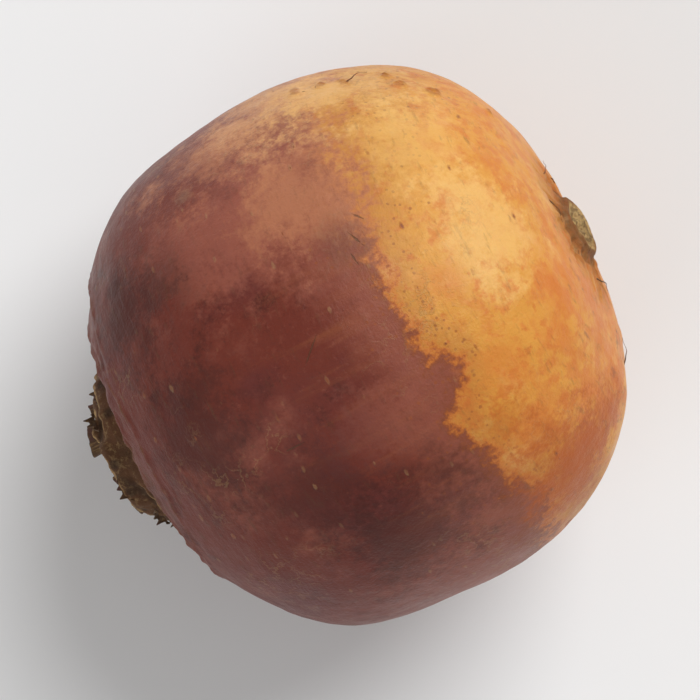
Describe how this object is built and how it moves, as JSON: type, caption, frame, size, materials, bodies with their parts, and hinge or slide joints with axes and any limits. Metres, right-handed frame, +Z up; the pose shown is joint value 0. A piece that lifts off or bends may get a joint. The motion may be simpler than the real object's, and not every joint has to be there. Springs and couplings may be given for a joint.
{
  "type": "rutabaga",
  "caption": "Globe-shaped rutabaga root, purple at the topped crown and yellow towards the trimmed taproot, lying on its side.",
  "frame": {"origin": "centre of the bounding box's bottom face, at the level of the surface the root lies on", "axes": "+X along the root from the crown towards the taproot, whose end is raised 9 degrees; +Y across the girth; +Z up from the resting spot"},
  "size_m": [0.097, 0.0978, 0.0949],
  "materials": {
    "skin": "thin smooth vegetable skin with a slight waxy sheen, maroon purple on the crown half and orange yellow on the taproot half, with tan corky leaf scars"
  },
  "bodies": {
    "root": {"rutabaga_root": "skin"}
  },
  "joints": []
}
